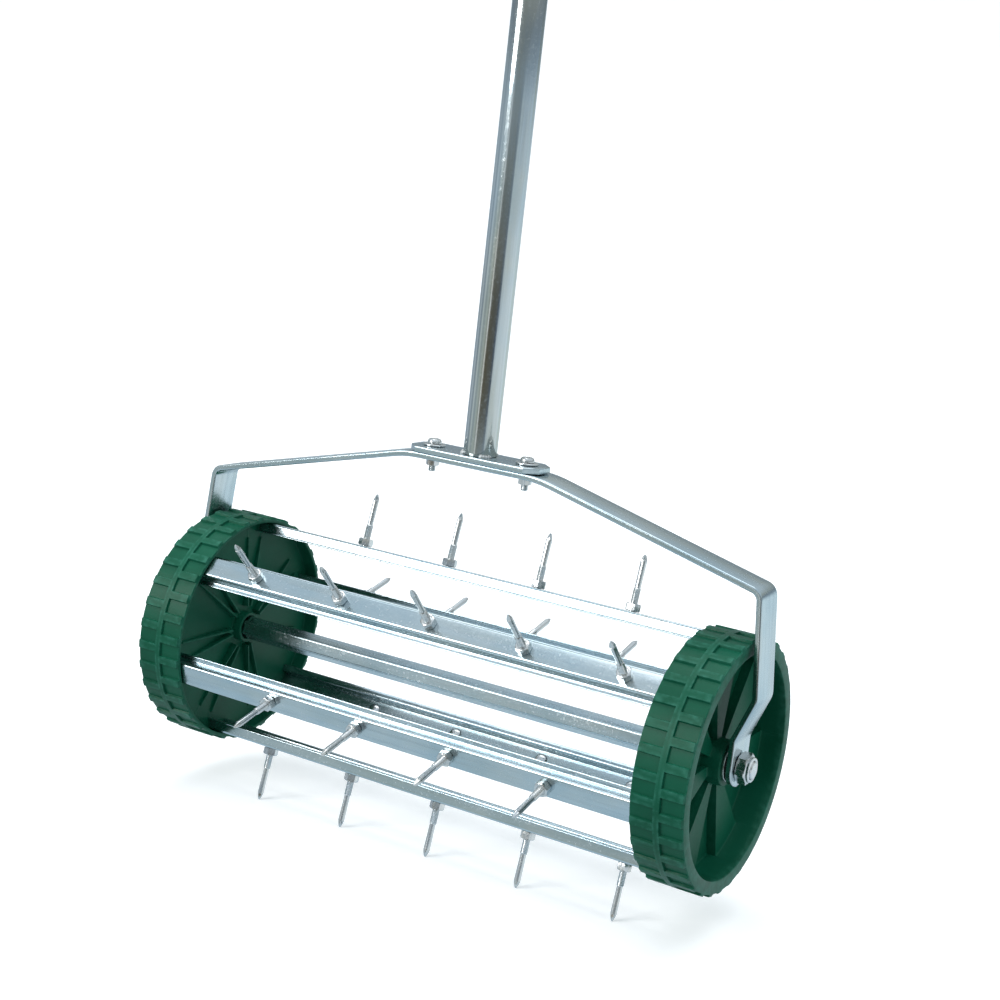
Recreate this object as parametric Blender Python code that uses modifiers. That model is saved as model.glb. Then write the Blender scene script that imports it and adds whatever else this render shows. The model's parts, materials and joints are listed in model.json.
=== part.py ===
# Rolling lawn aerator: two moulded wheels joined by six spiked channel bars, turning on a
# threaded rod in a bent strip yoke, with a long tube handle and a crossbar.
# Metres, +Z up. X runs along the axle, the handle is upright, and the floor touches the
# lowest spike tips at z = 0.

import math

import bmesh
import bpy
from mathutils import Matrix, Vector

# ---------------------------------------------------------------- driving dimensions
GAP = 0.0003                    # clearance between pieces that touch

WHEEL_R = 0.100                 # floor of the tread
LUG_H = 0.002                   # height of the tread's lugs and ridge
WHEEL_W = 0.044
WHEEL_INNER_X = 0.217           # inner face of each wheel
RIM_WALL = 0.003
RING_W = 0.0105                 # flat ring round the mouth of the outer dish
DISH_R = WHEEL_R - RING_W
WEB = (0.013, 0.017)            # web's two faces, from the inner face
PANEL_TOP = 0.0245              # raised spoke panels, from the inner face
PANELS = 7
PANEL_HALF = math.radians(13.0)
LUGS = 33
LUG_ARC = 0.007                 # width of one lug round the tread
RIDGE = (WHEEL_W / 2 - 0.0025, WHEEL_W / 2 + 0.003)    # central ridge, from the inner face
HUB_R = 0.018
HUB_OUT = 0.0342                # outer end of the hub, from the inner face
RIB_HALF = math.radians(6.5)    # half angle of each pair of ribs on the web's inner side
RIB_SPAN = (0.019, 0.082)
WHEEL_PHASE = {"right": math.radians(3.0), "left": math.radians(-4.9)}

ROD_R = 0.007
ROD_OUT = 0.0011                # how far the rod stands out of its nuts
BORE_CLEAR = 0.0004
AXLE_TUBE_R = 0.0105            # hexagonal tube, to its corners
AXLE_TUBE_WALL = 0.0015
AXLE_TUBE_TURN = math.radians(-10.0)
SOCKET_R = AXLE_TUBE_R + GAP    # socket for the axle tube
SOCKET_END = 0.011
BOSS_R = SOCKET_R + 0.0027
BOSS_IN = 0.004

BAR_SHEET = 0.0013
BAR_WEB = 0.020
BAR_DEPTH = 0.010
BAR_LIP = 0.005
BAR_FOLD_R = 0.0016
BAR_HALF = WHEEL_INNER_X + WEB[0] - GAP
BAR_TOP_R = math.sqrt((WHEEL_R - RIM_WALL - 0.0005) ** 2 - (BAR_WEB / 2) ** 2)
FIRST_BAR = math.radians(-14.8)
SPIKE_PITCH = 0.088
SPIKE_SHIFT = 0.011             # the spike pattern sits off centre by this much
SPIKE_COUNTS = (4, 5, 4, 5, 4, 5)

SPIKE_LENGTH = 0.047            # from the bar's web to the tip
SPIKE_TIP_R = BAR_TOP_R + SPIKE_LENGTH
SPIKE_HEAD_R = 0.0055
SPIKE_HEAD_H = 0.0024
SPIKE_SHANK_R = 0.003
SPIKE_NUT_AF = 0.0112
SPIKE_NUT_H = 0.0065
SPIKE_COLLAR_R = 0.0031
SPIKE_COLLAR_END = 0.0185       # from the web
SPIKE_PIN_R = 0.0027
SPIKE_POINT = 0.0075
SPIKE_FLAT_R = 0.0007           # blunt end of the point

WASHER_R = 0.014                # washer and spacer between hub and yoke
WASHER_T = 0.002
SPACER_T = 0.0014
AXLE_NUT_AF = 0.022
AXLE_NUT_H = 0.011

STRIP_W = 0.032                 # yoke strip
STRIP_T = 0.005
ARM_IN = WHEEL_INNER_X + HUB_OUT + WASHER_T + SPACER_T + 3 * GAP
ARM_X = ARM_IN + STRIP_T / 2
ARM_CLEAR = 0.008               # between the wheel's outer face and the arm that passes it
ARM_PASS_X = WHEEL_INNER_X + WHEEL_W + ARM_CLEAR + STRIP_T / 2
YOKE_TOP = SPIKE_TIP_R + 0.0475
YOKE_HALF = [
    (0.063, YOKE_TOP), (ARM_PASS_X - 0.008, YOKE_TOP - 0.050), (ARM_PASS_X, 0.058),
    (ARM_X, 0.023), (ARM_X, -0.018),
]
YOKE_BENDS = [0.105, 0.009, 0.014, 0.014]
ROD_HALF = ARM_X + STRIP_T / 2 + GAP + AXLE_NUT_H + ROD_OUT

PLATE_L = 0.124
PLATE_W = 0.038
PLATE_T = 0.005
PLATE_CORNER = 0.010
BOLT_X = 0.045
BOLT_R = 0.003
BOLT_HEAD_R = 0.006
BOLT_NUT_AF = 0.010
PLATE_WASHER_R = 0.0095
PLATE_WASHER_T = 0.0015

TUBE_R = 0.014
TUBE_WALL = 0.0012
JOINT_UP = 0.445                # where the two handle tubes meet, above the yoke
SPIGOT = 0.060
CROSS_UP = 0.934                # crossbar centre, above the yoke
CROSS_R = 0.011
CROSS_HALF = 0.165
GRIP_R = 0.0155
GRIP_L = 0.112
CAP_T = 0.004

AXLE_Z = SPIKE_TIP_R * math.cos(FIRST_BAR) - SPIKE_FLAT_R * math.sin(FIRST_BAR)
TURN_X = Matrix.Rotation(math.pi / 2, 4, "Y")    # local Z to world X
TURN_Y = Matrix.Rotation(-math.pi / 2, 4, "X")   # local Z to world Y


# ---------------------------------------------------------------- tools
def clear_scene():
    for old in list(bpy.data.objects):
        bpy.data.objects.remove(old, do_unlink=True)


def collection(name):
    made = bpy.data.collections.new(name)
    bpy.context.scene.collection.children.link(made)
    return made


def finish(name, colour, roughness, metallic):
    mat = bpy.data.materials.new(name)
    mat.use_nodes = True
    shader = mat.node_tree.nodes["Principled BSDF"]
    shader.inputs["Base Color"].default_value = (*colour, 1.0)
    shader.inputs["Roughness"].default_value = roughness
    shader.inputs["Metallic"].default_value = metallic
    return mat


def from_bmesh(name, bm, mat=None, home=None):
    mesh = bpy.data.meshes.new(name)
    bm.to_mesh(mesh)
    bm.free()
    obj = bpy.data.objects.new(name, mesh)
    (home or parts).objects.link(obj)
    if mat is not None:
        mesh.materials.append(mat)
    return obj


def place(obj, matrix):
    obj.matrix_world = matrix
    return obj


def smooth(obj):
    obj.data.shade_smooth()
    obj.data.set_sharp_from_angle(angle=math.radians(35))
    return obj


def turned(name, profile, segments, mat=None, home=None, ring=False):
    """A profile of (radius, height) points, listed down its outer side, turned about Z."""
    bm = bmesh.new()
    verts = [bm.verts.new((r, 0, z)) for r, z in profile]
    for a, b in zip(verts, verts[1:]):
        bm.edges.new((a, b))
    if ring:
        bm.edges.new((verts[-1], verts[0]))
    obj = from_bmesh(name, bm, mat, home)
    screw = obj.modifiers.new("turn", "SCREW")
    screw.axis = "Z"
    screw.steps = segments
    screw.render_steps = segments
    screw.use_merge_vertices = True
    screw.merge_threshold = 0.00001
    screw.use_normal_calculate = False
    return obj


def rod_profile(radius, z0, z1, chamfer=0.0004):
    return [
        (0, z1), (radius - chamfer, z1), (radius, z1 - chamfer),
        (radius, z0 + chamfer), (radius - chamfer, z0), (0, z0),
    ]


def tube_profile(outer, inner, z0, z1):
    return [(outer, z1), (outer, z0), (inner, z0), (inner, z1)]


def prism(name, outline, z0, z1, mat=None, home=None):
    """A flat outline, listed anticlockwise, raised from z0 to z1."""
    bm = bmesh.new()
    face = bm.faces.new([bm.verts.new((x, y, z0)) for x, y in outline])
    face.normal_flip()
    raised = bmesh.ops.extrude_face_region(bm, geom=[face], use_keep_orig=True)
    top = [g for g in raised["geom"] if isinstance(g, bmesh.types.BMVert)]
    bmesh.ops.translate(bm, verts=top, vec=(0, 0, z1 - z0))
    bmesh.ops.recalc_face_normals(bm, faces=bm.faces)
    return from_bmesh(name, bm, mat, home)


def blocks(name, boxes, home=None):
    """Separate boxes, each given as (size, matrix)."""
    bm = bmesh.new()
    for size, matrix in boxes:
        bmesh.ops.create_cube(bm, size=1, matrix=matrix @ Matrix.Diagonal((*size, 1)))
    return from_bmesh(name, bm, None, home or cutters)


def drills(name, holes, segments=16):
    """Separate cylinders for cutting, each given as (radius, length, matrix)."""
    bm = bmesh.new()
    for radius, length, matrix in holes:
        bmesh.ops.create_cone(
            bm, cap_ends=True, segments=segments, radius1=radius, radius2=radius,
            depth=length, matrix=matrix,
        )
    return hide(from_bmesh(name, bm, None, cutters))


def hide(obj):
    obj.hide_render = True
    obj.display_type = "WIRE"
    return obj


def boolean(obj, other, operation):
    mod = obj.modifiers.new(other.name, "BOOLEAN")
    mod.operation = operation
    mod.solver = "EXACT"
    mod.object = other
    return obj


def baked(obj):
    """The object's evaluated mesh; the object and its modifiers are removed."""
    bpy.context.view_layer.update()
    evaluated = obj.evaluated_get(bpy.context.evaluated_depsgraph_get())
    mesh = bpy.data.meshes.new_from_object(evaluated)
    mesh.name = obj.name
    bpy.data.objects.remove(obj, do_unlink=True)
    return mesh


def filleted(points, radii, steps):
    """The path through the points with an arc of the given radius at each inner corner."""
    path = [points[0]]
    for before, corner, after, radius in zip(points, points[1:], points[2:], radii):
        corner = Vector(corner)
        to_back = (Vector(before) - corner).normalized()
        to_front = (Vector(after) - corner).normalized()
        half = to_back.angle(to_front) / 2
        centre = corner + (to_back + to_front).normalized() * (radius / math.sin(half))
        start = corner + to_back * (radius / math.tan(half)) - centre
        end = corner + to_front * (radius / math.tan(half)) - centre
        sweep = start.angle(end)
        for i in range(steps + 1):
            t = i / steps
            arc = (start * math.sin((1 - t) * sweep) + end * math.sin(t * sweep)) / math.sin(sweep)
            path.append(tuple(centre + arc))
    path.append(points[-1])
    return path


def clipped_box(length, width, clip):
    """Outline of a rectangle with its corners cut off, anticlockwise, centred on the origin."""
    x, y = length / 2, width / 2
    return [
        (x, -y + clip), (x, y - clip), (x - clip, y), (-x + clip, y),
        (-x, y - clip), (-x, -y + clip), (-x + clip, -y), (x - clip, -y),
    ]


def sheet(name, path, width, thickness, mat=None, home=None):
    """An open path in the XZ plane, drawn out along Y and given its thickness."""
    bm = bmesh.new()
    verts = [bm.verts.new((x, -width / 2, z)) for x, z in path]
    edges = [bm.edges.new(pair) for pair in zip(verts, verts[1:])]
    drawn = bmesh.ops.extrude_edge_only(bm, edges=edges)
    far = [g for g in drawn["geom"] if isinstance(g, bmesh.types.BMVert)]
    bmesh.ops.translate(bm, verts=far, vec=(0, width, 0))
    obj = from_bmesh(name, bm, mat, home)
    wall = obj.modifiers.new("wall", "SOLIDIFY")
    wall.thickness = thickness
    wall.offset = 0
    wall.use_even_offset = True
    return obj


def hexagon(across_flats, z0, z1, name):
    bm = bmesh.new()
    radius = across_flats / math.sqrt(3)
    middle = Matrix.Translation((0, 0, (z0 + z1) / 2))
    bmesh.ops.create_cone(
        bm, cap_ends=True, segments=6, radius1=radius, radius2=radius, depth=z1 - z0, matrix=middle,
    )
    return hide(from_bmesh(name, bm, None, cutters))


def nut(name, across_flats, height, hole, mat, segments=16):
    """A hex nut standing on z = 0, with its corners turned off at both ends."""
    corner = across_flats / math.sqrt(3)
    flat = across_flats / 2
    edge = (corner - flat) * 0.5
    dome = turned(name, [
        (flat, height), (corner + 0.0002, height - edge), (corner + 0.0002, edge), (flat, 0),
        (hole, 0), (hole, height),
    ], segments, mat, ring=True)
    return boolean(dome, hexagon(across_flats, -0.001, height + 0.001, name + "_hex"), "INTERSECT")


# ---------------------------------------------------------------- drum
def wheel_mesh():
    """One wheel about Z, its inner face at z = 0 and its outer dish facing +Z."""
    top = WHEEL_R + LUG_H
    body = turned("wheel_body", [
        (WHEEL_R, WHEEL_W), (WHEEL_R, RIDGE[1]), (top, RIDGE[1]), (top, RIDGE[0]),
        (WHEEL_R, RIDGE[0]), (WHEEL_R, 0), (WHEEL_R - RIM_WALL, 0), (WHEEL_R - RIM_WALL, WEB[0]),
        (BOSS_R, WEB[0]), (BOSS_R, BOSS_IN), (SOCKET_R, BOSS_IN), (SOCKET_R, SOCKET_END),
        (ROD_R + BORE_CLEAR, SOCKET_END), (ROD_R + BORE_CLEAR, HUB_OUT), (HUB_R, HUB_OUT),
        (HUB_R, WEB[1]), (DISH_R, WEB[1]), (DISH_R, WHEEL_W),
    ], LUGS * 2, plastic, ring=True)
    lugs = []
    inset = 0.0002
    for k in range(LUGS):
        for row, (z0, z1) in enumerate(((RIDGE[1] - 0.001, WHEEL_W - inset), (inset, RIDGE[0] + 0.001))):
            turn = Matrix.Rotation((k + row / 2) * math.tau / LUGS, 4, "Z")
            lugs.append((
                (0.004, LUG_ARC, z1 - z0),
                turn @ Matrix.Translation((top - 0.002, 0, (z0 + z1) / 2)),
            ))
    boolean(body, hide(blocks("lug_blocks", lugs)), "UNION")
    for k in range(PANELS):
        middle = math.tau * k / PANELS
        outline = []
        for radius, side in ((HUB_R - 0.002, -1), (DISH_R + 0.001, -1), (DISH_R + 0.001, 0),
                             (DISH_R + 0.001, 1), (HUB_R - 0.002, 1)):
            a = middle + side * PANEL_HALF
            outline.append((radius * math.cos(a), radius * math.sin(a)))
        panel = hide(prism("panel_%d" % k, outline, WEB[1] - 0.001, PANEL_TOP, None, cutters))
        boolean(body, panel, "UNION")
    ribs = []
    length = RIB_SPAN[1] - RIB_SPAN[0]
    lean = Matrix.Rotation(math.radians(-4.5), 4, "Y")    # deep at the hub, shallow at the rim
    for k in range(PANELS):
        for side in (-1, 1):
            turn = Matrix.Rotation(math.tau * k / PANELS + side * RIB_HALF, 4, "Z")
            middle = Matrix.Translation((sum(RIB_SPAN) / 2, 0, WEB[0] - 0.0012))
            ribs.append(((length, 0.0018, 0.006), turn @ middle @ lean))
    boolean(body, hide(blocks("rib_blocks", ribs)), "UNION")
    return baked(body)


def make_wheels():
    mesh = wheel_mesh()
    for side, sign in (("right", 1), ("left", -1)):
        wheel = bpy.data.objects.new("wheel_" + side, mesh)
        parts.objects.link(wheel)
        wheel.parent = drum
        wheel.location = (sign * WHEEL_INNER_X, 0, 0)
        wheel.rotation_mode = "QUATERNION"
        turn = Matrix.Rotation(sign * math.pi / 2, 4, "Y")
        phase = Matrix.Rotation(WHEEL_PHASE[side], 4, "X")
        # local X of the turned mesh points to -Z or +Z, so half a turn brings a panel to the top
        half = Matrix.Rotation(math.pi if sign > 0 else 0, 4, "X")
        wheel.rotation_quaternion = (phase @ half @ turn).to_quaternion()


def spike_mesh():
    """One spike about Z, with z measured from the axle: head, shank, nut, collar and pin."""
    under = BAR_TOP_R - BAR_SHEET - GAP
    over = BAR_TOP_R + GAP
    collar_end = BAR_TOP_R + SPIKE_COLLAR_END
    pin = turned("spike", [
        (0, SPIKE_TIP_R), (SPIKE_FLAT_R, SPIKE_TIP_R), (SPIKE_PIN_R, SPIKE_TIP_R - SPIKE_POINT),
        (SPIKE_PIN_R, collar_end + 0.0008), (SPIKE_COLLAR_R, collar_end),
        (SPIKE_COLLAR_R, over + SPIKE_NUT_H / 2), (SPIKE_SHANK_R, over + SPIKE_NUT_H / 2 - 0.001),
        (SPIKE_SHANK_R, under), (SPIKE_HEAD_R, under),
        (SPIKE_HEAD_R * 0.75, under - SPIKE_HEAD_H), (0, under - SPIKE_HEAD_H),
    ], 10, bright_zinc)
    nut_block = hexagon(SPIKE_NUT_AF, over, over + SPIKE_NUT_H, "spike_nut_block")
    return baked(boolean(pin, nut_block, "UNION"))


def spike_places(count):
    """Positions along a bar, evenly pitched about the shifted middle."""
    return [SPIKE_SHIFT + (i - (count - 1) / 2) * SPIKE_PITCH for i in range(count)]


def make_bars():
    spike = spike_mesh()
    mid = BAR_TOP_R - BAR_SHEET / 2
    low = mid - BAR_DEPTH + BAR_SHEET
    side = (BAR_WEB - BAR_SHEET) / 2
    section = [
        (-side - BAR_LIP, low), (-side, low), (-side, mid), (side, mid), (side, low),
        (side + BAR_LIP, low),
    ]
    folds = filleted(section, [BAR_FOLD_R] * 4, 2)
    lengthwise = Matrix.Rotation(-math.pi / 2, 4, "Z")    # local Y to world X
    for index, count in enumerate(SPIKE_COUNTS):
        angle = FIRST_BAR + index * math.pi / 3
        bar = sheet("bar_%d" % (index + 1), folds, 2 * BAR_HALF, BAR_SHEET, zinc)
        holes = drills("bar_%d_holes" % (index + 1), [
            (SPIKE_SHANK_R + GAP, 0.01, Matrix.Translation((0, x, mid)))
            for x in spike_places(count)
        ], 12)
        bar.parent = drum
        holes.parent = drum
        seat = Matrix.Rotation(angle, 4, "X") @ lengthwise
        for obj in (bar, holes):
            obj.rotation_mode = "QUATERNION"
            obj.rotation_quaternion = seat.to_quaternion()
        boolean(bar, holes, "DIFFERENCE")
        for number, x in enumerate(spike_places(count)):
            pin = bpy.data.objects.new("spike_%d_%d" % (index + 1, number + 1), spike)
            parts.objects.link(pin)
            pin.parent = drum
            pin.location = (x, 0, 0)
            pin.rotation_euler = (angle, 0, 0)


def make_axle_tube():
    half = WHEEL_INNER_X + SOCKET_END - GAP
    inner = AXLE_TUBE_R - AXLE_TUBE_WALL / math.cos(math.pi / 6)
    tube = turned("axle_tube", tube_profile(AXLE_TUBE_R, inner, -half, half), 6, zinc, ring=True)
    tube.parent = drum
    tube.rotation_mode = "QUATERNION"
    tube.rotation_quaternion = (Matrix.Rotation(AXLE_TUBE_TURN, 4, "X") @ TURN_X).to_quaternion()


# ---------------------------------------------------------------- frame and handle
def make_axle_fittings():
    rod = turned("axle_rod", rod_profile(ROD_R, -ROD_HALF, ROD_HALF, 0.001), 24, bright_zinc)
    place(rod, Matrix.Translation((0, 0, AXLE_Z)) @ TURN_X)
    hole = ROD_R + GAP
    washer = WHEEL_INNER_X + HUB_OUT + GAP
    spacer = washer + WASHER_T + GAP
    for side, sign in (("right", 1), ("left", -1)):
        seat = Matrix.Translation((0, 0, AXLE_Z)) @ Matrix.Rotation(sign * math.pi / 2, 4, "Y")
        ring = turned("hub_washer_" + side, tube_profile(WASHER_R, hole, washer, washer + WASHER_T),
                      24, bright_zinc, ring=True)
        place(ring, seat)
        ring = turned("hub_spacer_" + side, tube_profile(WASHER_R - 0.0005, hole, spacer, spacer + SPACER_T),
                      24, dark_rubber, ring=True)
        place(ring, seat)
        lock = nut("axle_nut_" + side, AXLE_NUT_AF, AXLE_NUT_H, hole, bright_zinc, 24)
        shift = Matrix.Translation((0, 0, ARM_X + STRIP_T / 2 + GAP))
        place(lock, seat @ shift)
        place(bpy.data.objects["axle_nut_%s_hex" % side], seat @ shift)


def make_yoke():
    right = YOKE_HALF
    left = [(-x, z) for x, z in reversed(right)]
    bends = list(reversed(YOKE_BENDS)) + YOKE_BENDS
    path = filleted(left + right, bends, 5)
    yoke = sheet("yoke", path, STRIP_W + 0.004, STRIP_T, zinc)
    yoke.location = (0, 0, AXLE_Z)
    round_end = [
        (STRIP_W / 2 * math.cos(a), STRIP_W / 2 * math.sin(a))
        for a in (math.pi + math.pi * i / 16 for i in range(17))
    ]
    outline = round_end + [(STRIP_W / 2, 0.25), (-STRIP_W / 2, 0.25)]
    ends = hide(prism("yoke_outline", outline, -0.3, 0.3, None, cutters))
    # outline x, y become world Y, Z, and its height becomes world X
    place(ends, Matrix.Translation((0, 0, AXLE_Z)) @ Matrix(((0, 0, 1, 0), (1, 0, 0, 0), (0, 1, 0, 0), (0, 0, 0, 1))))
    boolean(yoke, ends, "INTERSECT")
    holes = drills("yoke_holes", [
        (ROD_R + GAP, 0.6, Matrix.Translation((0, 0, AXLE_Z)) @ TURN_X),
        (BOLT_R + GAP, 0.02, Matrix.Translation((BOLT_X, 0, AXLE_Z + YOKE_HALF[0][1]))),
        (BOLT_R + GAP, 0.02, Matrix.Translation((-BOLT_X, 0, AXLE_Z + YOKE_HALF[0][1]))),
    ], 24)
    boolean(yoke, holes, "DIFFERENCE")


def make_plate():
    """The plate on the yoke with its two bolts. Returns the height of its top."""
    strip_top = AXLE_Z + YOKE_HALF[0][1] + STRIP_T / 2
    strip_bottom = strip_top - STRIP_T
    base = strip_top + GAP
    top = base + PLATE_T
    plate = prism("mount_plate", clipped_box(PLATE_L, PLATE_W, PLATE_CORNER), base, top, zinc)
    bevel = plate.modifiers.new("edge", "BEVEL")
    bevel.width = 0.0006
    bevel.segments = 1
    bevel.limit_method = "ANGLE"
    holes = drills("plate_holes", [
        (BOLT_R + GAP, 0.02, Matrix.Translation((x, 0, base))) for x in (-BOLT_X, BOLT_X)
    ], 16)
    boolean(plate, holes, "DIFFERENCE")
    head = top + 2 * GAP + PLATE_WASHER_T
    nut_h = 0.006
    for side, x in (("left", -BOLT_X), ("right", BOLT_X)):
        washer = turned("plate_washer_" + side,
                        tube_profile(PLATE_WASHER_R, BOLT_R + GAP, top + GAP, top + GAP + PLATE_WASHER_T),
                        20, zinc, ring=True)
        washer.location = (x, 0, 0)
        end = strip_bottom - GAP - nut_h - 0.005
        bolt = turned("plate_bolt_" + side, [
            (0, head + 0.004), (BOLT_HEAD_R * 0.5, head + 0.0037), (BOLT_HEAD_R * 0.87, head + 0.0022),
            (BOLT_HEAD_R, head), (BOLT_R, head), (BOLT_R, end + 0.001), (BOLT_R - 0.0006, end), (0, end),
        ], 16, bright_zinc)
        bolt.location = (x, 0, 0)
        lock = nut("plate_nut_" + side, BOLT_NUT_AF, nut_h, BOLT_R + GAP, bright_zinc, 18)
        seat = Matrix.Translation((x, 0, strip_bottom - GAP - nut_h))
        place(lock, seat)
        place(bpy.data.objects["plate_nut_%s_hex" % side], seat)
    return top


def make_handle(plate_top):
    joint = AXLE_Z + YOKE_TOP + JOINT_UP
    cross_z = AXLE_Z + YOKE_TOP + CROSS_UP
    inner = TUBE_R - TUBE_WALL
    bolt_z = joint - SPIGOT / 2
    cross_hole = drills("joint_hole", [(BOLT_R + GAP, 0.06, Matrix.Translation((0, 0, bolt_z)) @ TURN_Y)], 16)

    lower = turned("handle_lower", tube_profile(TUBE_R, inner, plate_top + GAP, joint), 32, zinc, ring=True)
    boolean(lower, cross_hole, "DIFFERENCE")

    spigot_r = inner - GAP
    upper = turned("handle_upper", [
        (TUBE_R, cross_z), (TUBE_R, joint + GAP), (spigot_r, joint + GAP), (spigot_r, joint - SPIGOT),
        (spigot_r - TUBE_WALL, joint - SPIGOT), (spigot_r - TUBE_WALL, cross_z),
    ], 32, zinc, ring=True)
    boolean(upper, cross_hole, "DIFFERENCE")
    saddle = drills("saddle", [(CROSS_R + GAP, 0.1, Matrix.Translation((0, 0, cross_z)) @ TURN_X)], 32)
    boolean(upper, saddle, "DIFFERENCE")

    bolt = turned("joint_bolt", [
        (0, TUBE_R + 0.004), (BOLT_HEAD_R * 0.5, TUBE_R + 0.0037), (BOLT_HEAD_R * 0.9, TUBE_R + 0.002),
        (BOLT_HEAD_R, TUBE_R + GAP),
        (BOLT_R, TUBE_R + GAP), (BOLT_R, -TUBE_R - 0.008), (0, -TUBE_R - 0.008),
    ], 16, bright_zinc)
    seat = Matrix.Translation((0, 0, bolt_z)) @ Matrix.Rotation(math.pi / 2, 4, "X")
    place(bolt, seat)
    nut_h = 0.005
    lock = nut("joint_nut", BOLT_NUT_AF, nut_h, BOLT_R + GAP, bright_zinc, 18)
    shift = Matrix.Translation((0, 0, -TUBE_R - GAP - nut_h))
    place(lock, seat @ shift)
    place(bpy.data.objects["joint_nut_hex"], seat @ shift)

    cross = turned("crossbar", tube_profile(CROSS_R, CROSS_R - TUBE_WALL, -CROSS_HALF, CROSS_HALF),
                   32, zinc, ring=True)
    place(cross, Matrix.Translation((0, 0, cross_z)) @ TURN_X)
    for side, sign in (("right", 1), ("left", -1)):
        seat = Matrix.Translation((0, 0, cross_z)) @ Matrix.Rotation(sign * math.pi / 2, 4, "Y")
        end = CROSS_HALF - GAP
        edge = 0.002
        grip = turned("grip_" + side, [
            (GRIP_R - edge, end), (GRIP_R, end - edge), (GRIP_R, end - GRIP_L + edge),
            (GRIP_R - edge, end - GRIP_L), (CROSS_R + GAP, end - GRIP_L), (CROSS_R + GAP, end),
        ], 32, grip_rubber, ring=True)
        place(grip, seat)
        plug = CROSS_R - TUBE_WALL - GAP
        cap = turned("end_cap_" + side, [
            (0, CROSS_HALF + GAP + CAP_T), (GRIP_R - 0.003, CROSS_HALF + GAP + CAP_T),
            (GRIP_R - 0.001, CROSS_HALF + GAP + CAP_T / 2), (GRIP_R - 0.001, CROSS_HALF + GAP),
            (plug, CROSS_HALF + GAP), (plug, CROSS_HALF - 0.012), (0, CROSS_HALF - 0.012),
        ], 32, dark_rubber)
        place(cap, seat)


# ---------------------------------------------------------------- model
clear_scene()
parts = collection("lawn_aerator")
cutters = collection("cutters")

plastic = finish("green_plastic", (0.012, 0.16, 0.10), 0.42, 0.0)
zinc = finish("zinc_plate", (0.52, 0.57, 0.60), 0.34, 1.0)
bright_zinc = finish("bright_zinc", (0.72, 0.72, 0.70), 0.22, 1.0)
dark_rubber = finish("dark_rubber", (0.03, 0.035, 0.035), 0.7, 0.0)
grip_rubber = finish("grip_rubber", (0.02, 0.02, 0.02), 0.7, 0.0)

drum = bpy.data.objects.new("drum_axis", None)
parts.objects.link(drum)
drum.location = (0, 0, AXLE_Z)

make_wheels()
make_bars()
make_axle_tube()
make_axle_fittings()
make_yoke()
make_handle(make_plate())

for piece in parts.objects:
    if piece.type == "MESH" and not piece.modifiers:
        smooth(piece)
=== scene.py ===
import json
import math
import bmesh
import bpy
import numpy as np
from mathutils import Euler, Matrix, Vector


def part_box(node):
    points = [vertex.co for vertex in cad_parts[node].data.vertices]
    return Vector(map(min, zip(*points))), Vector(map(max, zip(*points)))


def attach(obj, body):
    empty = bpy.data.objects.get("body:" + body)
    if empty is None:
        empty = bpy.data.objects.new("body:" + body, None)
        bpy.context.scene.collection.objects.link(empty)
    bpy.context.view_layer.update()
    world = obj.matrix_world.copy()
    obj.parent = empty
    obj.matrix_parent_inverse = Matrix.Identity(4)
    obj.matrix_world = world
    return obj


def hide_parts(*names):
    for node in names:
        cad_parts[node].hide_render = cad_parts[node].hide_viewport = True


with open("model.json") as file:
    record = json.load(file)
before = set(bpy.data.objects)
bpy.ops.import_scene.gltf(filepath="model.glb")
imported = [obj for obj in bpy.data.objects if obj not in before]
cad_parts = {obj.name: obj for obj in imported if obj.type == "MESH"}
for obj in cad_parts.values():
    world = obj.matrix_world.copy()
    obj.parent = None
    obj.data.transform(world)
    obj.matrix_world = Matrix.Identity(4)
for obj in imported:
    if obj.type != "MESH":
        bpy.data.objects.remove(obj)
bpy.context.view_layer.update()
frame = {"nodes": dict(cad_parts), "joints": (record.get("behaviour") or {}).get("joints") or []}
axleZ = frame["joints"][0]["pos_m"][2]
axle = np.array([0.0, 0.0, axleZ])
xAxis, yAxis, zAxis = np.eye(3)
clearance = 0.0003    # between pieces that fit or seat on each other
print("frame loaded,", len(frame["nodes"]), "nodes")


def rounded(points, radii, steps=3, closed=True):
    # Each corner becomes an arc that touches both of its sides, as a rational quadratic:
    # cut = radius / tan(half the corner's angle), weight = sin(half the corner's angle).
    p = np.array(points, float)
    radii = np.broadcast_to(np.array(radii, float), len(p)).copy()
    if not closed:
        radii[[0, -1]] = 0
    back, ahead = np.roll(p, 1, 0) - p, np.roll(p, -1, 0) - p
    backLength, aheadLength = np.linalg.norm(back, axis=1), np.linalg.norm(ahead, axis=1)
    back, ahead = back / backLength[:, None], ahead / aheadLength[:, None]
    half = np.arccos(np.clip((back * ahead).sum(1), -1, 1)) / 2
    cut = radii / np.tan(np.maximum(half, 0.001))
    cut = np.minimum(cut, 0.49 * np.minimum(backLength, aheadLength))[:, None, None]
    t = np.linspace(0, 1, steps + 1)[None, :, None]
    weight = np.sin(half)[:, None, None] * 2 * t * (1 - t)
    start, end = p[:, None] + back[:, None] * cut, p[:, None] + ahead[:, None] * cut
    arcs = (start * (1 - t) ** 2 + p[:, None] * weight + end * t ** 2) / ((1 - t) ** 2 + weight + t ** 2)
    keep = np.ones((len(p), steps + 1), bool)
    keep[radii == 0, 1:] = False
    return arcs[keep]


def about(origin, axis, start, radius, along, angle):
    # point = origin + along * axis + radius * (cos angle * start + sin angle * (axis x start))
    side = np.cross(axis, start)
    radius, along, angle = np.broadcast_arrays(radius, along, angle)
    return (origin + along[..., None] * axis + (radius * np.cos(angle))[..., None] * start
            + (radius * np.sin(angle))[..., None] * side)


def smoothStep(t):
    t = np.clip(t, 0, 1)
    return t * t * (3 - 2 * t)


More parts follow.
